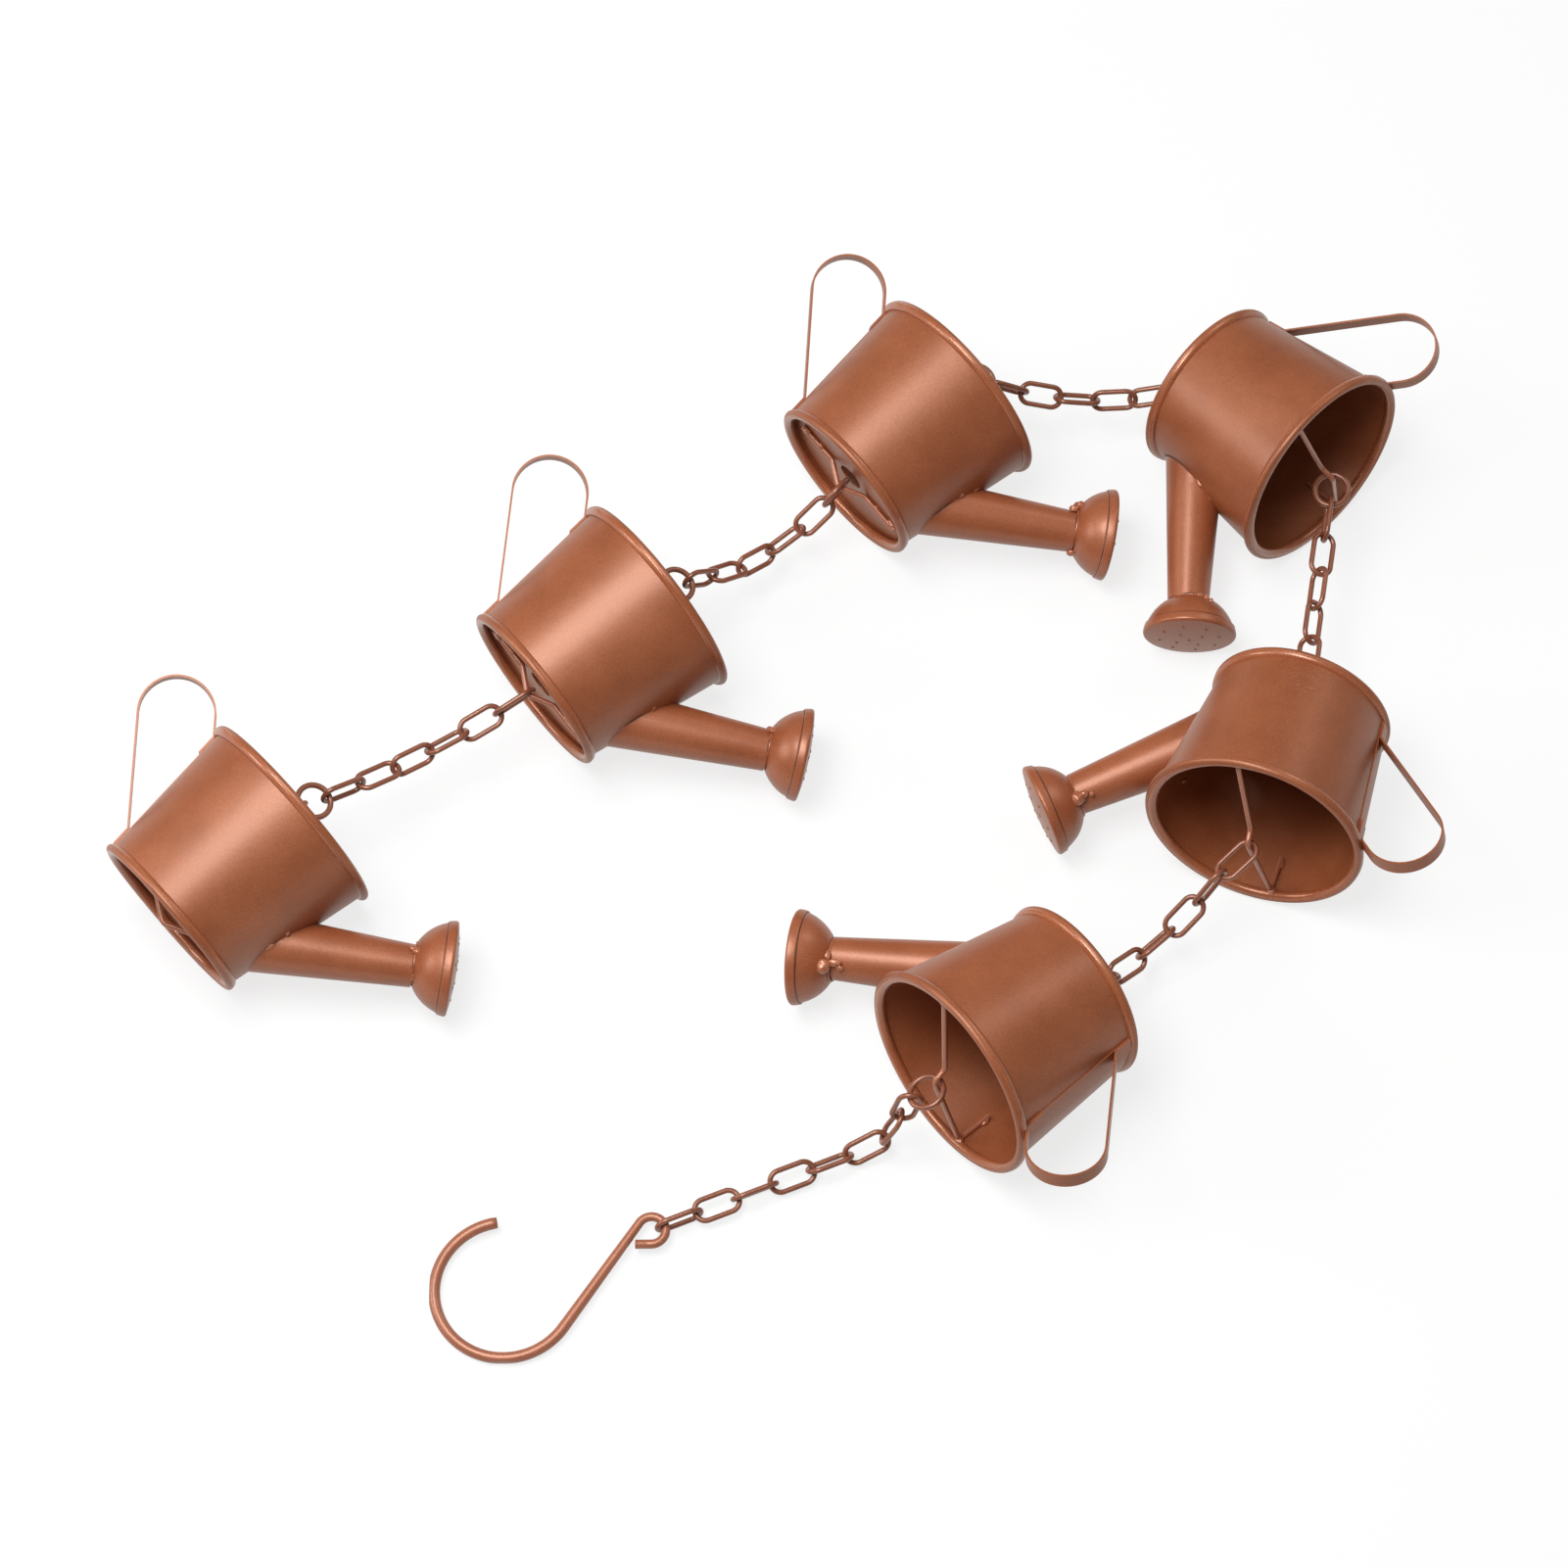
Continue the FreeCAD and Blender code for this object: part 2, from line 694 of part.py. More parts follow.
for item in doc.Objects:
    if "Invalid" in item.State or "Error" in item.State:
        raise RuntimeError(f"{item.Label} did not build")
for node in nodes:
    if node.Shape.isNull() or not node.Shape.isValid():
        raise RuntimeError(f"{node.Label} has no valid shape")

os.makedirs("parts", exist_ok=True)
for node in nodes:
    node.Shape.exportStep(f"parts/{node.Label}.step")
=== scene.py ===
import math

import bmesh
import bpy
from mathutils import Matrix, Vector, noise


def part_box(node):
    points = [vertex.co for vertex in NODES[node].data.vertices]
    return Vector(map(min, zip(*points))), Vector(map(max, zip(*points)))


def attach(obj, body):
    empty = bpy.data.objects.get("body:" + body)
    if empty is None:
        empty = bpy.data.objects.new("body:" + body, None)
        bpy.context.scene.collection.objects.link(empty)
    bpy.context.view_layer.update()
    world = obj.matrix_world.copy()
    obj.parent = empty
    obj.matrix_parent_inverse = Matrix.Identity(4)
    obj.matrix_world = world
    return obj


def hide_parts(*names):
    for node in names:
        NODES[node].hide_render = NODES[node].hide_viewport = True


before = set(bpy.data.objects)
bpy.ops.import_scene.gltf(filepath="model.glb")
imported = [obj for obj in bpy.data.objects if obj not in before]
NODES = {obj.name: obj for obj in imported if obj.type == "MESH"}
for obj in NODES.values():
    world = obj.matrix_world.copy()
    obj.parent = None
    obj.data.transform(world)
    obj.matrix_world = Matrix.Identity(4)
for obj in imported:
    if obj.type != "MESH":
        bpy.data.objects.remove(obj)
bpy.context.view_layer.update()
CANS = range(1, 7)
MM = 0.001

# Photograph's camera, found from the round rims of the cans: size, focal length and middle in pixels,
# place in metres, and how steeply it looks down in degrees
IMAGE = 1601
FOCAL_PIXELS = 4612.5
PRINCIPAL = (829.0, 761.8)
EYE = Vector((0.0090, -0.8165, 1.6099))
ELEVATION = 62.144
SENSOR = 36

# Light: lamps as place, target, size and power, then the world and the floor
LAMPS = {
    "overhead": ((-0.35, -0.10, 1.4), (-0.1, 0, 0), (0.85, 0.6), 20.5),
    "left": ((-1.5, 0.1, 0.8), (0, 0, 0), (0.7, 0.7), 9),
    "right": ((1.1, 0.8, 1.3), (0, 0, 0), (0.6, 0.6), 4),
}
WORLD_COLOUR, WORLD_FILL = (1.0, 0.985, 0.96, 1), 0.23
FLOOR_SIZE = 8
FLOOR_PAPER, FLOOR_BOUNCE = (0.86, 0.86, 0.86, 1), (0.36, 0.36, 0.36, 1)
FLOOR_WHITE = 0.78

# A can in its own frame, millimetres: z from the base to the mouth, x to the spout
SPOUTWARD, ACROSS, UPWARD = Vector((1, 0, 0)), Vector((0, 1, 0)), Vector((0, 0, 1))
BASE_MIDDLE = 5.0
WALL_FOOT, WALL_FOOT_RADIUS, WALL_SLOPE = 1.6, 34.6, 7.4 / 62
RIM_RADIUS = 2.1
MOUTH_RIM, BASE_RIM = (41.7, 63.1), (34.4, 2.1)

# Spout: its root, its way out, and the side of it that faces the mouth
SPOUT_ROOT = Vector((37.69, 0, 27.5))
SPOUT_WAY = Vector((0.7660, 0, 0.6428))
MOUTH_SIDE = Vector((-0.6428, 0, 0.7660))
SPOUT_LENGTH = 50.0
ROOT_RADIUS, NECK_RADIUS = 11.2, 8.4

# Search along the spout for where it meets the wall: where it starts, and how often it halves
ROOT_SEARCH_FROM, ROOT_HALVINGS = -1.5 * ROOT_RADIUS, 40

# Rose at the end of the spout: bowl, cap over its rim, and face, as radii and depths past the neck
BOWL_RADIUS, BOWL_CENTRE = 18.4, 16.37
CAP_RADIUS, CAP_BACK, CAP_TURN, CAP_EDGE = 18.95, 11.1, 13.9, 1.2
FACE_DEPTH, FACE_DOME, FACE_MIDDLE = 16.7, 97.5, 0.4

# Wires that the chain hangs on: ends of the mouth wire's legs, and feet of the base wire
LEG_TOP, LEG_END = Vector((0, 39.93, 62.2)), Vector((0, 38.13, 47.2))
FOOT_END, FOOT_INNER, FOOT_HEIGHT = 28.0, 17.0, 3.5

# Paint: how metallic it is, its shine and its clear coat
METALLIC, SPECULAR = 0.18, 0.75
COAT, COAT_ROUGH = 0.10, 0.22
SHINE_TINT = (1, 0.97, 0.85, 1)

# Noises of the paint, as scale, detail and roughness
CLOUD = (38, 4, 0.6)
GRAIN = (2000, 2, 0.7)
SCUFF = (48, 6, 0.68)
SCRATCH = (420, 4, 0.7)
PEEL = (620, 3, 0.5)

# What the noises do: stops of colour, turns and stretches of the lines, and values in and out
CLOUD_LOW, CLOUD_HIGH = 0.3, 0.7
SPARKLE = ((0.35, (0.72, 0.71, 0.70)), (0.72, (1.30, 1.28, 1.24)))
PALE = ((0.0, (0.56, 0.27, 0.17)), (1.0, (0.62, 0.33, 0.22)))
SCUFF_TURN, SCUFF_STRETCH = (0.4, 0.9, 0.6), (1, 7, 16)
SCUFF_IN, SCUFF_OUT = (0.73, 0.79), (0, 0.28)
SCRATCH_TURN, SCRATCH_STRETCH = (0.9, 0.3, 1.1), (1, 5, 1)
SCRATCH_IN, SCRATCH_OUT, SCRATCH_CORE = (0.56, 0.68), (0, 0.5), 0.3
GLOSSIER, DULLER = 0.05, 0.07
PEEL_BUMP, GRAIN_BUMP = (0.10, 0.0004), (0.18, 0.0001)


# Materials

def new_material(name):
    material = bpy.data.materials.new(name)
    material.use_nodes = True
    return material, material.node_tree.nodes, material.node_tree.links


def ramp(nodes, links, value, stops):
    made = nodes.new("ShaderNodeValToRGB")
    elements = made.color_ramp.elements
    while len(elements) < len(stops):
        elements.new(0.5)
    for element, (place, colour) in zip(elements, stops):
        element.position = place
        element.color = (*colour, 1)
    links.new(value, made.inputs["Fac"])
    return made.outputs["Color"]


def noise_texture(nodes, links, where, scale, detail, roughness):
    made = nodes.new("ShaderNodeTexNoise")
    made.inputs["Scale"].default_value = scale
    made.inputs["Detail"].default_value = detail
    made.inputs["Roughness"].default_value = roughness
    links.new(where, made.inputs["Vector"])
    return made.outputs["Fac"]


def drawn_out(nodes, links, where, turn, stretch):
    """Coordinates turned and stretched, so that a noise on them makes lines."""
    made = nodes.new("ShaderNodeMapping")
    made.inputs["Rotation"].default_value = turn
    made.inputs["Scale"].default_value = stretch
    links.new(where, made.inputs["Vector"])
    return made.outputs["Vector"]


def mix_colour(nodes, links, kind, factor, first, second):
    """Blend of two colours. The factor is a number or a socket."""
    made = nodes.new("ShaderNodeMix")
    made.data_type = "RGBA"
    made.blend_type = kind
    if isinstance(factor, float):
        made.inputs["Factor"].default_value = factor
    else:
        links.new(factor, made.inputs["Factor"])
    links.new(first, made.inputs["A"])
    links.new(second, made.inputs["B"])
    return made.outputs["Result"]


def map_range(nodes, links, value, source, target):
    made = nodes.new("ShaderNodeMapRange")
    made.inputs["From Min"].default_value, made.inputs["From Max"].default_value = source
    made.inputs["To Min"].default_value, made.inputs["To Max"].default_value = target
    links.new(value, made.inputs["Value"])
    return made.outputs["Result"]


def calculate(nodes, links, operation, first, second):
    made = nodes.new("ShaderNodeMath")
    made.operation = operation
    links.new(first, made.inputs[0])
    links.new(second, made.inputs[1])
    return made.outputs["Value"]


def bump(nodes, links, height, strength, depth, under=None):
    made = nodes.new("ShaderNodeBump")
    made.inputs["Strength"].default_value = strength
    made.inputs["Distance"].default_value = depth
    links.new(height, made.inputs["Height"])
    if under:
        links.new(under, made.inputs["Normal"])
    return made.outputs["Normal"]


def local_scratches(nodes, links, where, place, reach):
    """Short scratches that fade out round one place."""
    far = nodes.new("ShaderNodeVectorMath")
    far.operation = "DISTANCE"
    far.inputs[1].default_value = place
    links.new(where, far.inputs[0])
    near = map_range(nodes, links, far.outputs["Value"], (reach, SCRATCH_CORE * reach), (0, 1))
    lines = drawn_out(nodes, links, where, SCRATCH_TURN, SCRATCH_STRETCH)
    mark = noise_texture(nodes, links, lines, *SCRATCH)
    mark = map_range(nodes, links, mark, SCRATCH_IN, SCRATCH_OUT)
    return calculate(nodes, links, "MULTIPLY", near, mark)


def copper_paint(name, dark, light, rough, flake=0.75, scratched=None):
    """Copper coloured satin paint: cloudy coat, fine metal flake, pale scuffs and a slight orange peel."""
    material, nodes, links = new_material(name)
    shader = nodes["Principled BSDF"]
    where = nodes.new("ShaderNodeTexCoord").outputs["Object"]
    cloud = noise_texture(nodes, links, where, *CLOUD)
    coat = ramp(nodes, links, cloud, ((CLOUD_LOW, dark), (CLOUD_HIGH, light)))
    grain = noise_texture(nodes, links, where, *GRAIN)
    sparkle = ramp(nodes, links, grain, SPARKLE)
    colour = mix_colour(nodes, links, "MULTIPLY", flake, coat, sparkle)

    lines = drawn_out(nodes, links, where, SCUFF_TURN, SCUFF_STRETCH)
    scuff = noise_texture(nodes, links, lines, *SCUFF)
    pale = ramp(nodes, links, cloud, PALE)
    scuffed = map_range(nodes, links, scuff, SCUFF_IN, SCUFF_OUT)
    colour = mix_colour(nodes, links, "MIX", scuffed, colour, pale)
    if scratched:
        scratches = local_scratches(nodes, links, where, *scratched)
        colour = mix_colour(nodes, links, "MIX", scratches, colour, pale)
    links.new(colour, shader.inputs["Base Color"])

    gloss = map_range(nodes, links, cloud, (0, 1), (rough - GLOSSIER, rough + DULLER))
    links.new(gloss, shader.inputs["Roughness"])
    shader.inputs["Metallic"].default_value = METALLIC
    shader.inputs["Specular IOR Level"].default_value = SPECULAR
    shader.inputs["Specular Tint"].default_value = SHINE_TINT
    shader.inputs["Coat Weight"].default_value = COAT
    shader.inputs["Coat Roughness"].default_value = COAT_ROUGH

    peel = noise_texture(nodes, links, where, *PEEL)
    skin = bump(nodes, links, peel, *PEEL_BUMP)
    skin = bump(nodes, links, grain, *GRAIN_BUMP, skin)
    links.new(skin, shader.inputs["Normal"])
    return material


# Frame of each can, read from its own nodes

def middle(node):
    points = [vertex.co for vertex in NODES[node].data.vertices]
    return sum(points, Vector()) / len(points)


def box_middle(node):
    low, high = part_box(node)
    return (low + high) / 2


def can_frame(number):
    """Matrix from a can's own frame in millimetres to the scene."""
    base = box_middle(f"can_{number}_base")
    spokes = [vertex.co - base for vertex in NODES[f"can_{number}_base"].data.vertices]
    normal = Vector()
    for spoke in spokes[1:]:
        turn = spokes[0].cross(spoke)
        normal += turn if turn.dot(normal) >= 0 else -turn
    normal.normalize()
    if normal.dot(box_middle(f"can_{number}_wall") - base) < 0:
        normal.negate()
    to_head = middle(f"can_{number}_head") - base
    aside = (to_head - normal * to_head.dot(normal)).normalized()
    turn = Matrix((aside, normal.cross(aside), normal)).transposed().to_4x4()
    return Matrix.Translation(base - normal * BASE_MIDDLE * MM) @ turn @ Matrix.Scale(MM, 4)


CAN_AT = {number: can_frame(number) for number in CANS}


def wall_radius(height):
    return WALL_FOOT_RADIUS + (height - WALL_FOOT) * WALL_SLOPE


def on_circle(radius, around, height):
    turn = math.radians(around)
    return Vector((radius * math.cos(turn), radius * math.sin(turn), height))


def on_wall(around, height):
    return on_circle(wall_radius(height), around, height)


# Paints. Two walls have a scratched place each: where it is in the scene, and its reach in metres.
SCRATCHED_2 = (CAN_AT[2] @ on_wall(-109, 13.9), 0.011)
SCRATCHED_3 = (CAN_AT[3] @ on_wall(-43, 54.1), 0.006)
CAN_COAT = ((0.278, 0.073, 0.024), (0.348, 0.102, 0.038), 0.44)
CAN_PAINT = copper_paint("can_paint", *CAN_COAT)
WALL_2_PAINT = copper_paint("can_paint_scratched_b", *CAN_COAT, scratched=SCRATCHED_2)
WALL_3_PAINT = copper_paint("can_paint_scratched_c", *CAN_COAT, scratched=SCRATCHED_3)
WIRE_PAINT = copper_paint("wire_paint", (0.345, 0.112, 0.058), (0.440, 0.155, 0.086), 0.30)
CHAIN_PAINT = copper_paint("chain_paint", (0.215, 0.068, 0.036), (0.300, 0.100, 0.055), 0.32)
SPOUT_PAINT = copper_paint("spout_paint", (0.310, 0.083, 0.030), (0.380, 0.112, 0.045), 0.40)
# Rims, rim drops and the root's lip: the can's paint made glossier, and made lighter as a painted
# highlight along the rolled rims.
RIM_HIGHLIGHT_PAINT = copper_paint("rim_paint_painted_highlight", (0.330, 0.092, 0.036), (0.410, 0.130, 0.056), 0.27)
HOOK_PAINT = copper_paint("hook_paint", (0.310, 0.100, 0.052), (0.400, 0.140, 0.077), 0.38)
SOLDER_PAINT = copper_paint("solder_paint", (0.350, 0.110, 0.052), (0.450, 0.155, 0.080), 0.28, 0.5)
# Dark paint for painted shade: the shade in the joints' gaps and inside the pricked holes.
GAP_SHADE_PAINT = copper_paint("gap_shade_paint", (0.040, 0.012, 0.006), (0.075, 0.024, 0.012), 0.6, 0.5)
OWN_PAINTS = {"hook": HOOK_PAINT, "can_2_wall": WALL_2_PAINT, "can_3_wall": WALL_3_PAINT}


def paint_of(name):
    if name in OWN_PAINTS:
        return OWN_PAINTS[name]
    if name.startswith("run_"):
        return CHAIN_PAINT
    if name.endswith("_wires"):
        return WIRE_PAINT
    if name.endswith(("_spout", "_head")):
        return SPOUT_PAINT
    return CAN_PAINT


def paint_nodes():
    for name, node in NODES.items():
        node.data.materials.clear()
        node.data.materials.append(paint_of(name))


# Places on the spout: along it from the root, and round it in degrees from the side of the mouth

def tube_radius(along):
    return ROOT_RADIUS + (NECK_RADIUS - ROOT_RADIUS) * along / SPOUT_LENGTH


def spout_out(around):
    turn = math.radians(around)
    return MOUTH_SIDE * math.cos(turn) + ACROSS * math.sin(turn)


def spout_axes(around):
    out = spout_out(around)
    return SPOUT_WAY, SPOUT_WAY.cross(out), out


def spout_point(along, around, radius):
    return SPOUT_ROOT + SPOUT_WAY * along + spout_out(around) * radius


def neck_point(depth, around, radius):
    return spout_point(SPOUT_LENGTH + depth, around, radius)


def root_point(around, outside=0.0):
    """Where the skin of the tube, or a skin outside it, meets the wall, found by halving."""
    low, high = ROOT_SEARCH_FROM, SPOUT_LENGTH
    for _ in range(ROOT_HALVINGS):
        along = (low + high) / 2
        point = spout_point(along, around, tube_radius(along) + outside)
        if math.hypot(point.x, point.y) > wall_radius(point.z):
            high = along
        else:
            low = along
    return point


def bowl(radius, depth):
    """Radius, at a depth past the neck, of a bowl of this radius."""
    return math.sqrt(radius ** 2 - (depth - BOWL_CENTRE) ** 2)


def face_depth(radius):
    return FACE_DEPTH - radius ** 2 / (2 * FACE_DOME)


# Numbers that the shapes share. Of the noises that make them uneven: how much, the waves, and how far
# apart the seeds lie.
WANDER_WAVES, WANDER_SEED_STEP, WANDER_LEVEL = 0.045, 3.7, 0.5
LUMP_UNEVEN, LUMP_WAVES, LUMP_SEED_STEP = 0.32, 1.5, 7.3

# Points over which a tapered line thins out, at each end
TAPER_POINTS = 4


def clamp(value, low, high):
    return max(low, min(high, value))


def spaced(start, end, step):
    """Evenly spaced values from start to end, about a step apart."""
    count = max(2, round(abs(end - start) / step))
    return [start + (end - start) * index / count for index in range(count + 1)]


def full_turn(step):
    return spaced(0, 360, step)[:-1]


def uneven(seed, place, low, high):
    """Size between low and high that wanders from place to place."""
    where = Vector((place * WANDER_WAVES, seed * WANDER_SEED_STEP, WANDER_LEVEL))
    part = 0.5 + 0.5 * noise.noise(where)
    return low + (high - low) * clamp(part, 0.0, 1.0)


def tapered(count, thin, extra):
    """Radii of a line that thins out at both ends."""
    ends = [min(index, count - 1 - index) for index in range(count)]
    return [thin + extra * min(1, end / TAPER_POINTS) for end in ends]


# Mesh shapes, in a can's own frame

def join_rings(mesh, pairs):
    for one, other in pairs:
        for side in range(len(one)):
            after = (side + 1) % len(one)
            mesh.faces.new((one[side], one[after], other[after], other[side]))


def bead(mesh, points, radii, closed=False, sides=8):
    """Round bead along a path, with its own radius at each point."""
    last = len(points) - 1
    rings, normal = [], None
    for index, point in enumerate(points):
        before = points[index - 1] if index or closed else point
        after = points[(index + 1) % len(points)] if index < last or closed else point
        way = (after - before).normalized()
        normal = normal or way.orthogonal()
        normal = (normal - way * normal.dot(way)).normalized()
        side_way = way.cross(normal)
        ring = []
        for side in range(sides):
            turn = 2 * math.pi * side / sides
            out = normal * math.cos(turn) + side_way * math.sin(turn)
            ring.append(mesh.verts.new(point + out * radii[index]))
        rings.append(ring)
    pairs = list(zip(rings, rings[1:]))
    if closed:
        pairs.append((rings[-1], rings[0]))
    else:
        mesh.faces.new(rings[0])
        mesh.faces.new(rings[-1])
    join_rings(mesh, pairs)


def lump(mesh, place, axes, sizes, seed):
    """Ball drawn out along three axes by half sizes and left uneven."""
    made = bmesh.ops.create_icosphere(mesh, subdivisions=3, radius=1)
    shift = Vector((seed * LUMP_SEED_STEP, 0, 0))
    for vertex in made["verts"]:
        out = vertex.co.copy()
        swell = 1 + LUMP_UNEVEN * noise.noise(out * LUMP_WAVES + shift)
        spread = sum((axis * part * half for axis, part, half in zip(axes, out, sizes)), Vector())
        vertex.co = place + spread * swell


def add_piece(name, mesh, number, paint):
    bmesh.ops.recalc_face_normals(mesh, faces=mesh.faces)
    for face in mesh.faces:
        face.smooth = True
    data = bpy.data.meshes.new(name)
    mesh.to_mesh(data)
    mesh.free()
    data.transform(CAN_AT[number])
    data.materials.append(paint)
    piece = bpy.data.objects.new(name, data)
    bpy.context.scene.collection.objects.link(piece)
    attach(piece, f"can_{number}")
    return piece


# Rose: the step from the bowl up to the cap's skirt, as depths past the cap's back and a drop in radius
STEP_FOOT, STEP_DROP, STEP_TOP, SKIRT_START = 0.02, 0.2, 0.15, 0.5

# How much the rose is beaten out of round, and the waves of that round it, along it and from can to can
BEATEN, BEATEN_WAVES, BEATEN_ALONG, BEATEN_SEED_STEP = 0.008, 1.6, 0.16, 5.1


def rose_profile():
    """Depths past the neck and radii of the rose: bowl, skirt of the cap over it, round edge and face."""
    profile = [(depth, bowl(BOWL_RADIUS, depth)) for depth in spaced(0, CAP_BACK, step=0.8)]
    profile.append((CAP_BACK + STEP_FOOT, bowl(CAP_RADIUS, CAP_BACK) - STEP_DROP))
    profile.append((CAP_BACK + STEP_TOP, bowl(CAP_RADIUS, CAP_BACK + STEP_TOP)))
    skirt = spaced(CAP_BACK + SKIRT_START, CAP_TURN, step=0.5)
    profile += [(depth, bowl(CAP_RADIUS, depth)) for depth in skirt]
    flat = profile[-1][1] - CAP_EDGE
    for turn in spaced(0, 90, step=15)[1:]:
        turn = math.radians(turn)
        profile.append((CAP_TURN + CAP_EDGE * math.sin(turn), flat + CAP_EDGE * math.cos(turn)))
    profile += [(face_depth(radius), radius) for radius in spaced(flat, FACE_MIDDLE, step=2.0)[1:]]
    return profile


def build_rose(number):
    """The rose as one turned skin. It stands for the bowl and cap of the solids."""
    mesh = bmesh.new()
    rings = []
    for depth, radius in rose_profile():
        ring = []
        for around in full_turn(step=5):
            shift = Vector((depth * BEATEN_ALONG, number * BEATEN_SEED_STEP, 0))
            wave = noise.noise(spout_out(around) * BEATEN_WAVES + shift)
            ring.append(mesh.verts.new(neck_point(depth, around, radius * (1 + BEATEN * wave))))
        rings.append(ring)
    mesh.faces.new(rings[0])
    mesh.faces.new(rings[-1])
    join_rings(mesh, zip(rings, rings[1:]))
    piece = add_piece(f"can_{number}_rose", mesh, number, SPOUT_PAINT)
    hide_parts(f"can_{number}_head")


# Open stretches of the joints, which get lines of painted shade, as places round the tube: at the root and
# at the neck
ROOT_GAPS = {
    1: (-150, -66), 2: (-140, -72), 3: (-165, -74), 4: (-128, -78), 5: (-120, -74), 6: (-112, -80),
}
NECK_GAPS = {
    1: (60, 150), 2: (70, 165), 3: (-98, -60), 4: (-150, -60), 5: (-165, -75), 6: (-128, -78),
}

# Drops of paint left on the mouth rim of some cans: place round it, then half sizes round, up and out
RIM_DROPS = {
    2: ((-70, 1.6, 1.5, 1.2),),
    3: ((112, 1.7, 1.4, 1.2),),
    4: ((-87, 1.7, 1.6, 1.3), (-60, 1.2, 1.1, 0.9)),
}
DROP_INSET = 0.9

# How much the rims vary in thickness
RIM_VARIES = (0.94, 1.0)

# Lip of the spout's root: how far before the gap it starts, where it ends, how far it is outside the tube,
# and its radii
LIP_BEFORE, LIP_END, LIP_OUTSIDE, LIP_RADII = 10, -30, 0.2, (0.30, 0.55)

# Seeds that keep the uneven shapes of one can apart: of beads, and of lumps
BASE_RIM_SEED, LIP_SEED, CAP_LINE_SEED = 30, 50, 20
ROOT_SEED, LEG_TOP_SEED, LEG_END_SEED, FOOT_SEED, INNER_SEED, DROP_SEED = 40, 100, 120, 140, 160, 200


def add_rim(mesh, radius, height, seed):
    around = full_turn(step=3)
    line = [on_circle(radius, place, height) for place in around]
    thick = [RIM_RADIUS * uneven(seed, place, *RIM_VARIES) for place in around]
    bead(mesh, line, thick, closed=True, sides=16)


def build_rims(number):
    """Rolled rims of the mouth and the base, fuller than in the solids, with drops, and the root's lip, in
    a lighter paint that is a painted highlight.
    """
    mesh = bmesh.new()
    add_rim(mesh, *MOUTH_RIM, number)
    add_rim(mesh, *BASE_RIM, number + BASE_RIM_SEED)
    for index, (place, long, high, out) in enumerate(RIM_DROPS.get(number, ())):
        away = on_circle(1, place, 0)
        point = away * (MOUTH_RIM[0] - DROP_INSET) + UPWARD * MOUTH_RIM[1]
        axes = UPWARD.cross(away), UPWARD, away
        lump(mesh, point, axes, (long, high, out), DROP_SEED + 10 * number + index)
    around = spaced(ROOT_GAPS[number][0] - LIP_BEFORE, LIP_END, step=4)
    line = [root_point(place, LIP_OUTSIDE) for place in around]
    bead(mesh, line, [uneven(number + LIP_SEED, place, *LIP_RADII) for place in around])
    add_piece(f"can_{number}_rims", mesh, number, RIM_HIGHLIGHT_PAINT)


# Ring of solder at the neck of each spout: its depth past the neck, and its radii
NECK_RING_DEPTH, NECK_RING_RADII = -0.1, (0.12, 0.62)

# Solder lumps at the neck: depth past the neck, place round it, then half sizes along the spout, round it
# and out from it, which are all swelled
NECK_LUMPS = {
    1: ((1.6, -34, 2.5, 2.3, 1.7), (-2.2, -42, 2.6, 1.1, 0.8),
        (-4.8, -30, 1.2, 0.8, 0.5), (0.4, -58, 1.1, 1.6, 0.7)),
    2: ((0.9, -44, 2.4, 2.3, 2.0), (-2.6, -47, 1.5, 1.2, 0.9), (-5.5, -40, 0.8, 0.8, 0.4)),
    3: ((1.6, -42, 1.2, 1.0, 0.9), (0.2, -52, 0.9, 1.1, 0.7), (2.9, -36, 0.8, 0.7, 0.6)),
    4: ((0.7, -22, 1.9, 1.8, 1.6), (-1.6, -34, 1.7, 1.4, 1.1), (0.2, 178, 1.7, 1.6, 1.6)),
    5: ((0.6, -52, 1.4, 1.3, 0.9), (-1.0, -40, 1.0, 1.0, 0.6)),
    6: ((0.5, -66, 1.5, 1.4, 0.9), (-1.3, -55, 1.1, 0.9, 0.5), (0.1, -139, 0.8, 1.4, 0.4)),
}
NECK_SWELL = 1.25

# How the skin under a neck lump rises past the neck, on the bowl, and before it, on the tube
BOWL_RISE, TUBE_RISE, NECK_LIFT = 1.4, 0.12, 0.35

# Burrs and bits of solder where the tube is let into the wall: place round the tube, then half sizes
# along the joint, across it and out
ROOT_LUMPS = {
    1: ((-58, 1.7, 1.0, 1.1), (60, 2.0, 1.1, 1.0)),
    2: ((-66, 1.6, 1.0, 1.0), (40, 1.9, 1.1, 1.0)),
    3: ((-67, 2.4, 1.1, 1.2), (-40, 1.3, 0.8, 0.8)),
    4: ((-73, 1.3, 0.9, 1.7), (-46, 1.7, 1.1, 1.8), (30, 1.8, 1.0, 0.9)),
    5: ((-69, 1.2, 0.8, 1.8), (20, 1.6, 1.0, 0.9)),
    6: ((-77, 1.1, 0.8, 2.0), (-104, 2.2, 0.9, 0.8), (35, 1.8, 1.0, 0.9)),
}
ROOT_LIFT, ROOT_NEARBY = 0.3, 2

# Solder on the wires: how far up a leg and in from it or out, how far in from a foot's end and over the
# wire, then how much the lumps vary and where on each side that is read from
TOP_UP, TOP_IN, END_UP, END_OUT = 0.4, 0.1, 2.4, 0.5
FOOT_BACK, FOOT_LIFT, INNER_LIFT = 2.2, 0.3, 0.4
WIRE_VARIES, WIRE_PLACES = (0.8, 1.3), {-1: 20, 1: 100}


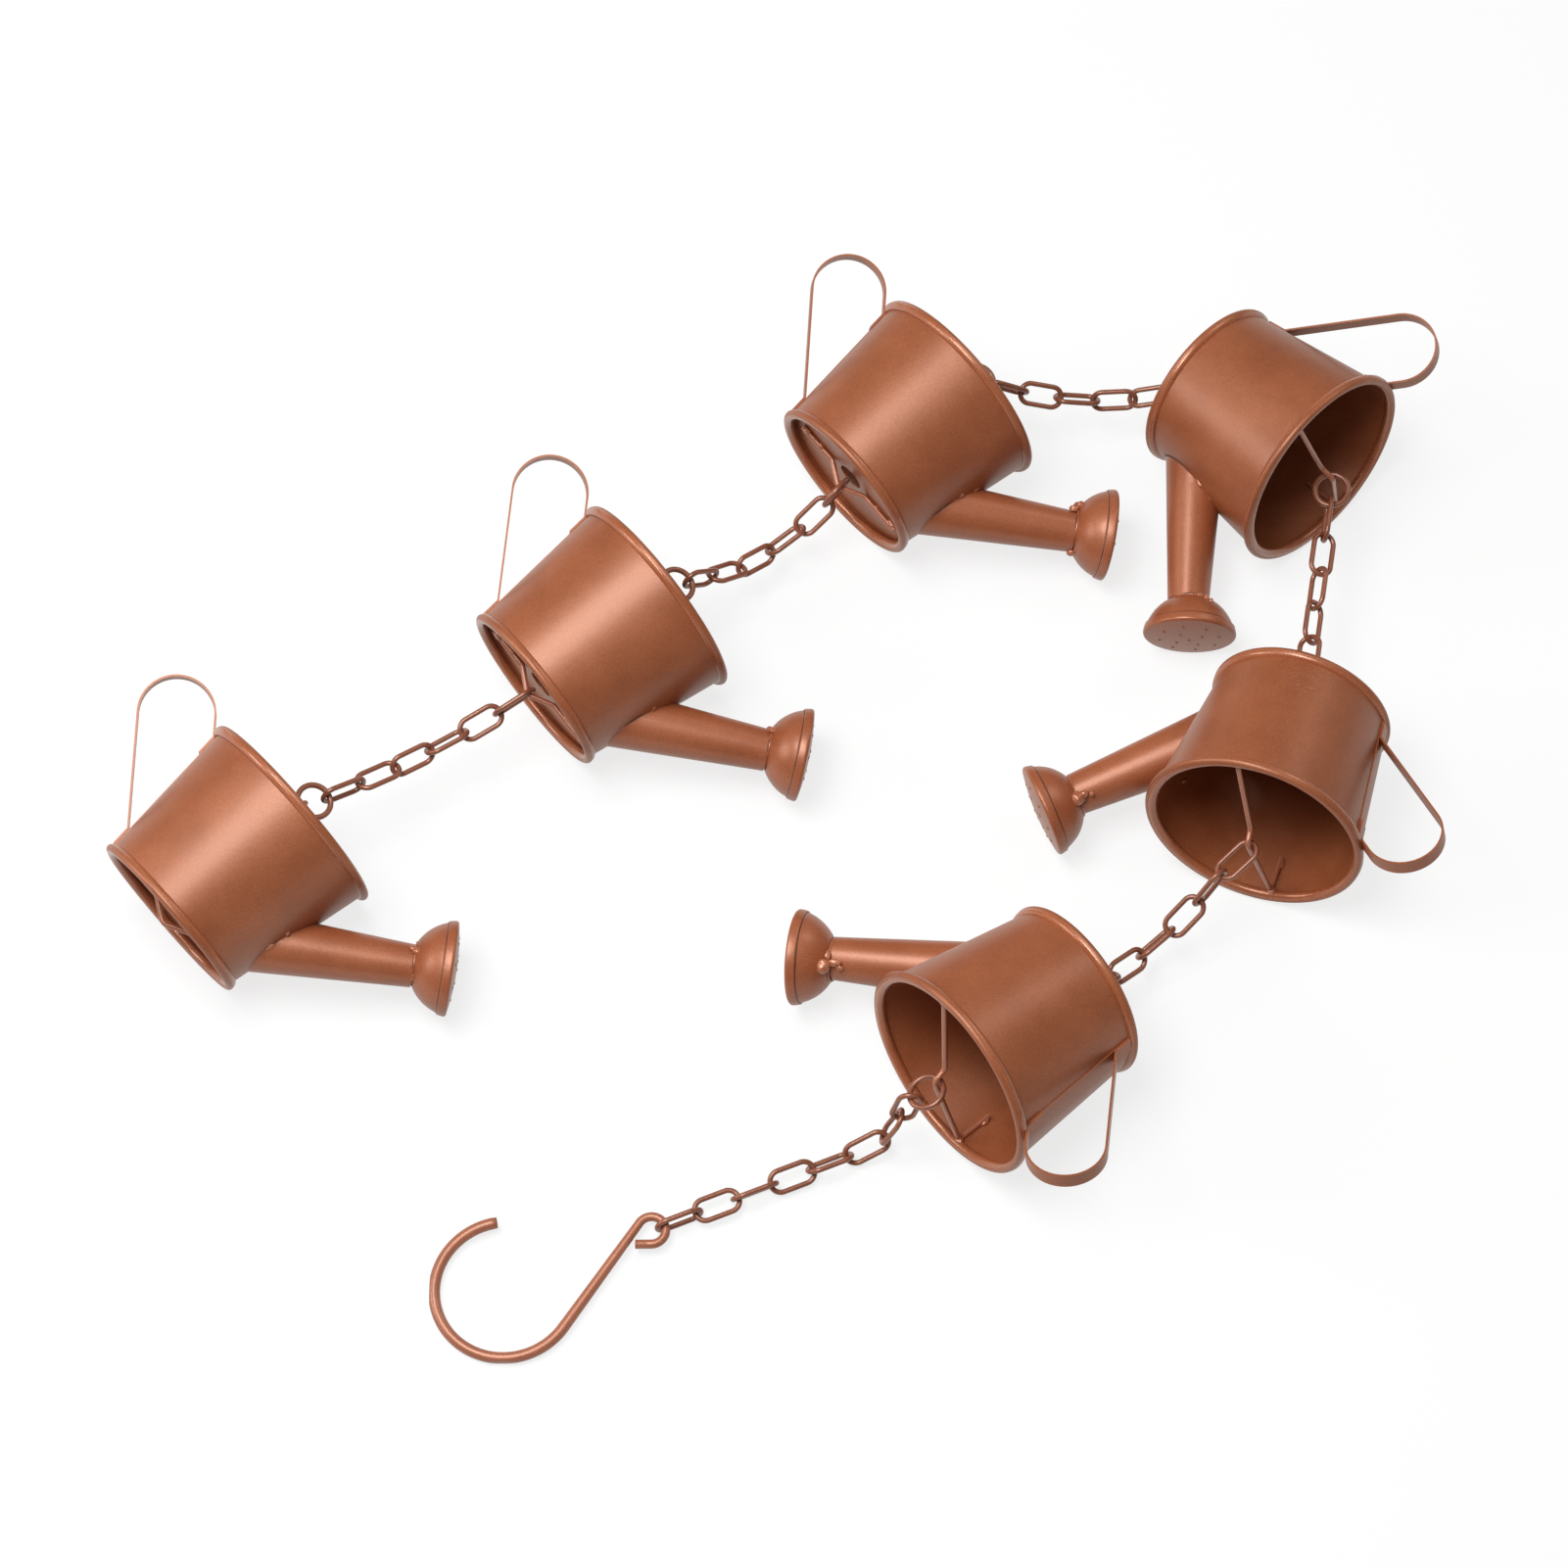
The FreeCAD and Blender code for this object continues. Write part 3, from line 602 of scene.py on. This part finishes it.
def add_neck_solder(mesh, number):
    around = full_turn(step=6)
    thick = [uneven(number, place, *NECK_RING_RADII) for place in around]
    ring = [neck_point(NECK_RING_DEPTH, place, NECK_RADIUS) for place in around]
    bead(mesh, ring, thick, closed=True)
    for index, (depth, place, long, wide, high) in enumerate(NECK_LUMPS[number]):
        radius = NECK_RADIUS + max(depth, 0) * BOWL_RISE - TUBE_RISE * min(depth, 0) + NECK_LIFT * high
        sizes = (NECK_SWELL * long, NECK_SWELL * wide, NECK_SWELL * high)
        lump(mesh, neck_point(depth, place, radius), spout_axes(place), sizes, 10 * number + index)


def add_root_solder(mesh, number):
    for index, (place, long, wide, high) in enumerate(ROOT_LUMPS[number]):
        point = root_point(place)
        along = (root_point(place + ROOT_NEARBY) - root_point(place - ROOT_NEARBY)).normalized()
        out = spout_out(place)
        across = along.cross(out).normalized()
        axes = along, across, across.cross(along)
        seed = ROOT_SEED + 10 * number + index
        lump(mesh, point + out * ROOT_LIFT * high, axes, (long, wide, high), seed)


def add_wire_solder(mesh, number):
    """Solder that holds the mouth wire's legs to the wall and the base wire's feet to the base."""
    up = (LEG_TOP - LEG_END).normalized()
    for side in (-1, 1):
        mirror = Vector((1, side, 1))
        leg_top, leg_end, leg_up = (mirror * point for point in (LEG_TOP, LEG_END, up))
        inward = Vector((0, -side, 0))
        on_leg, on_foot = (leg_up, SPOUTWARD, inward), (SPOUTWARD, ACROSS, UPWARD)
        top = leg_top + leg_up * TOP_UP + inward * TOP_IN
        end = leg_end + leg_up * END_UP - inward * END_OUT
        foot = Vector((side * (FOOT_END - FOOT_BACK), 0, FOOT_HEIGHT + FOOT_LIFT))
        inner = Vector((side * FOOT_INNER, 0, FOOT_HEIGHT + INNER_LIFT))
        grow = uneven(number, WIRE_PLACES[side], *WIRE_VARIES)
        lumps_and_half_sizes = (
            (LEG_TOP_SEED, top, on_leg, (1.7 * grow, 2.0 * grow, 1.25)),
            (LEG_END_SEED, end, on_leg, (2.4 * grow, 1.4, 0.95)),
            (FOOT_SEED, foot, on_foot, (2.6 * grow, 1.8, 1.3)),
            (INNER_SEED, inner, on_foot, (1.9, 1.5 * grow, 1.1)),
        )
        for seed, place, axes, sizes in lumps_and_half_sizes:
            lump(mesh, place, axes, sizes, seed + 10 * number + side)


def build_solder(number):
    mesh = bmesh.new()
    add_neck_solder(mesh, number)
    add_root_solder(mesh, number)
    add_wire_solder(mesh, number)
    add_piece(f"can_{number}_solder", mesh, number, SOLDER_PAINT)


# Lines of painted shade in the joints: how far they lie outside the tube or behind the joint, then the
# radius at their ends with what it gains, or the radii that they vary between
ROOT_LINE_OUTSIDE, ROOT_LINE = 0.75, (0.12, 0.34)
NECK_LINE_BEHIND, NECK_LINE_OUTSIDE, NECK_LINE = 0.5, 0.08, (0.08, 0.22)
CAP_LINE_BEHIND, CAP_LINE = 0.05, (0.16, 0.34)


def build_gaps(number):
    """Painted shade: dark lines for the shade where the sheets don't quite meet, at the spout's root,
    where it is the shadow beside the lip, at the neck, and at the cap's edge.
    """
    mesh = bmesh.new()
    around = spaced(*ROOT_GAPS[number], step=4)
    line = [root_point(place, ROOT_LINE_OUTSIDE) for place in around]
    bead(mesh, line, tapered(len(line), *ROOT_LINE), sides=6)
    around = spaced(*NECK_GAPS[number], step=4)
    line = [neck_point(-NECK_LINE_BEHIND, place, NECK_RADIUS + NECK_LINE_OUTSIDE) for place in around]
    bead(mesh, line, tapered(len(line), *NECK_LINE), sides=6)
    around = full_turn(step=4)
    depth, radius = CAP_BACK - CAP_LINE_BEHIND, bowl(BOWL_RADIUS, CAP_BACK)
    line = [neck_point(depth, place, radius) for place in around]
    thick = [uneven(number + CAP_LINE_SEED, place, *CAP_LINE) for place in around]
    bead(mesh, line, thick, closed=True, sides=6)
    add_piece(f"can_{number}_joint_gap_shade", mesh, number, GAP_SHADE_PAINT)


# Pricked holes of a rose: circles of holes and how many each has, how far one circle is turned from the
# next and one can from the next, then the radius of a hole, half its depth and how far it is sunk
PRICK_CIRCLES = ((0.0, 1), (6.2, 4), (12.2, 8))
CIRCLE_TURN, CAN_TURN = 23, 15
PRICK_RADIUS, PRICK_DEPTH, PRICK_SUNK = 0.45, 0.10, 0.02

# Burr round a hole: its radius, how uneven it is and the waves of that
PRICK_BURR, BURR_UNEVEN, BURR_WAVES = 0.22, 0.4, 1.3


def prick_places(number):
    for circle, (radius, count) in enumerate(PRICK_CIRCLES):
        for index in range(count):
            around = 360 * index / count + CIRCLE_TURN * circle + CAN_TURN * number
            yield neck_point(face_depth(radius), around, radius)


def build_pricks(number):
    """Burred rims of the pricked holes, and dark lumps in them that are painted shade for the holes'
    insides.
    """
    rims, holes = bmesh.new(), bmesh.new()
    axes, sizes = (MOUTH_SIDE, ACROSS, SPOUT_WAY), (PRICK_RADIUS, PRICK_RADIUS, PRICK_DEPTH)
    outs = [spout_out(around) for around in full_turn(step=30)]
    for index, place in enumerate(prick_places(number)):
        shift = Vector((index, number, 0))
        waves = [noise.noise(out * BURR_WAVES + shift) for out in outs]
        circle = [place + out * PRICK_RADIUS for out in outs]
        thick = [PRICK_BURR * (1 + BURR_UNEVEN * wave) for wave in waves]
        bead(rims, circle, thick, closed=True, sides=6)
        # Dark lump sunk in each hole: painted shade for the hole's dark inside.
        lump(holes, place - SPOUT_WAY * PRICK_SUNK, axes, sizes, index)
    add_piece(f"can_{number}_prick_burrs", rims, number, CAN_PAINT)
    add_piece(f"can_{number}_prick_hole_shade", holes, number, GAP_SHADE_PAINT)


# Hook's wire, fuller than the solid everywhere but at the eye that the first link hangs in
HOOK_SWELL = 0.5 * MM
EYE_REACH, EYE_FADE = 9 * MM, 12 * MM
WELD = 0.01 * MM


def swell_hook(mesh):
    """Swells the wire, lifts it to stay on the floor, and keeps it inside the box of the solid from side
    to side.
    """
    low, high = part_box("hook")
    links = NODES["run_1_links_a"].data.vertices
    hook_middle = box_middle("hook")
    at_eye = min((vertex.co for vertex in links), key=lambda place: (place - hook_middle).length)
    bmesh.ops.remove_doubles(mesh, verts=mesh.verts, dist=WELD)
    mesh.normal_update()
    for vertex in mesh.verts:
        part = ((vertex.co - at_eye).length - EYE_REACH) / EYE_FADE
        swell = HOOK_SWELL * clamp(part, 0.0, 1.0)
        moved = vertex.co + vertex.normal * swell + UPWARD * swell
        moved.x, moved.y = clamp(moved.x, low.x, high.x), clamp(moved.y, low.y, high.y)
        vertex.co = moved


def build_hook():
    data = NODES["hook"].data.copy()
    data.name = "hook_wire"
    mesh = bmesh.new()
    mesh.from_mesh(data)
    swell_hook(mesh)
    for face in mesh.faces:
        face.smooth = True
    mesh.to_mesh(data)
    mesh.free()
    data.materials.clear()
    data.materials.append(HOOK_PAINT)
    piece = bpy.data.objects.new("hook_wire", data)
    bpy.context.scene.collection.objects.link(piece)
    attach(piece, "hook")
    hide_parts("hook")


# Stage, light and camera

def seen_rays(nodes, links):
    """1 for what the camera sees straight, in a reflection or through glass."""
    rays = nodes.new("ShaderNodeLightPath").outputs
    value = rays["Is Camera Ray"]
    for other in ("Is Glossy Ray", "Is Transmission Ray"):
        value = calculate(nodes, links, "MAXIMUM", value, rays[other])
    return value


def build_stage():
    """White floor that keeps the shadow, and sends less light back to the cans than it shows."""
    bpy.ops.mesh.primitive_plane_add(size=FLOOR_SIZE)
    floor = bpy.context.object
    floor.name = "floor"
    material, nodes, links = new_material("floor_white")
    nodes.clear()
    out = nodes.new("ShaderNodeOutputMaterial")
    paper = nodes.new("ShaderNodeBsdfDiffuse")
    paper.inputs["Color"].default_value = FLOOR_PAPER
    bounce = nodes.new("ShaderNodeBsdfDiffuse")
    bounce.inputs["Color"].default_value = FLOOR_BOUNCE
    white = nodes.new("ShaderNodeEmission")
    white.inputs["Strength"].default_value = 1
    seen = nodes.new("ShaderNodeMixShader")
    seen.inputs["Fac"].default_value = FLOOR_WHITE
    links.new(paper.outputs["BSDF"], seen.inputs[1])
    links.new(white.outputs["Emission"], seen.inputs[2])
    choose = nodes.new("ShaderNodeMixShader")
    links.new(seen_rays(nodes, links), choose.inputs["Fac"])
    links.new(bounce.outputs["BSDF"], choose.inputs[1])
    links.new(seen.outputs["Shader"], choose.inputs[2])
    links.new(choose.outputs["Shader"], out.inputs["Surface"])
    floor.data.materials.append(material)


def build_world():
    world = bpy.data.worlds.new("studio")
    bpy.context.scene.world = world
    world.use_nodes = True
    fill = world.node_tree.nodes["Background"]
    fill.inputs["Color"].default_value = WORLD_COLOUR
    fill.inputs["Strength"].default_value = WORLD_FILL


def area_light(name, place, target, size, power):
    light = bpy.data.lights.new(name, "AREA")
    light.shape = "RECTANGLE"
    light.size, light.size_y = size
    light.energy = power
    made = bpy.data.objects.new(name, light)
    made.location = place
    made.rotation_euler = (Vector(target) - Vector(place)).to_track_quat("-Z", "Y").to_euler()
    bpy.context.scene.collection.objects.link(made)


def build_camera():
    camera = bpy.data.cameras.new("camera")
    camera.sensor_width = SENSOR
    camera.lens = SENSOR * FOCAL_PIXELS / IMAGE
    camera.shift_x = 0.5 - PRINCIPAL[0] / IMAGE
    camera.shift_y = PRINCIPAL[1] / IMAGE - 0.5
    made = bpy.data.objects.new("camera", camera)
    made.location = EYE
    made.rotation_euler = (math.radians(90 - ELEVATION), 0, 0)
    bpy.context.scene.collection.objects.link(made)
    bpy.context.scene.camera = made


paint_nodes()
build_hook()
for number in CANS:
    build_rose(number)
    build_rims(number)
    build_solder(number)
    build_gaps(number)
    build_pricks(number)
build_stage()
build_world()
for name, lamp in LAMPS.items():
    area_light(name, *lamp)
build_camera()
bpy.context.scene.view_settings.view_transform = "Standard"
